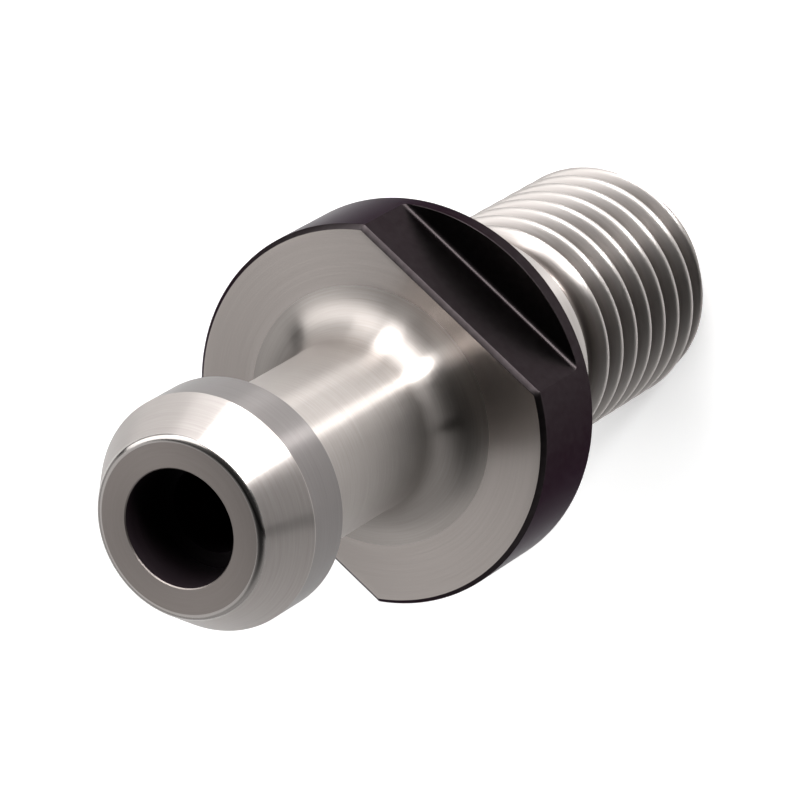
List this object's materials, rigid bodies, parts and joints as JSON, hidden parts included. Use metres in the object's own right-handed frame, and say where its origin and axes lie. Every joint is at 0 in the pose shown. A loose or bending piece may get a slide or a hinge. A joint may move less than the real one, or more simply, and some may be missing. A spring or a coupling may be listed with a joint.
{
  "type": "retention knob",
  "caption": "Retention knob for a 50-taper tool holder: coned head, neck, flange with two wrench flats, pilot and threaded shank, bored through for coolant.",
  "frame": {"origin": "centre of the seat, the flange's rear face that bears on the tool holder", "axes": "+Z along the knob's axis, from the threaded shank towards the tip of the head; +X square out of one wrench flat"},
  "size_m": [0.038, 0.038, 0.085],
  "materials": {
    "steel": "hardened and ground alloy steel, black oxide in the flats and bore"
  },
  "bodies": {
    "root": {"retention_knob": "steel"}
  },
  "joints": []
}
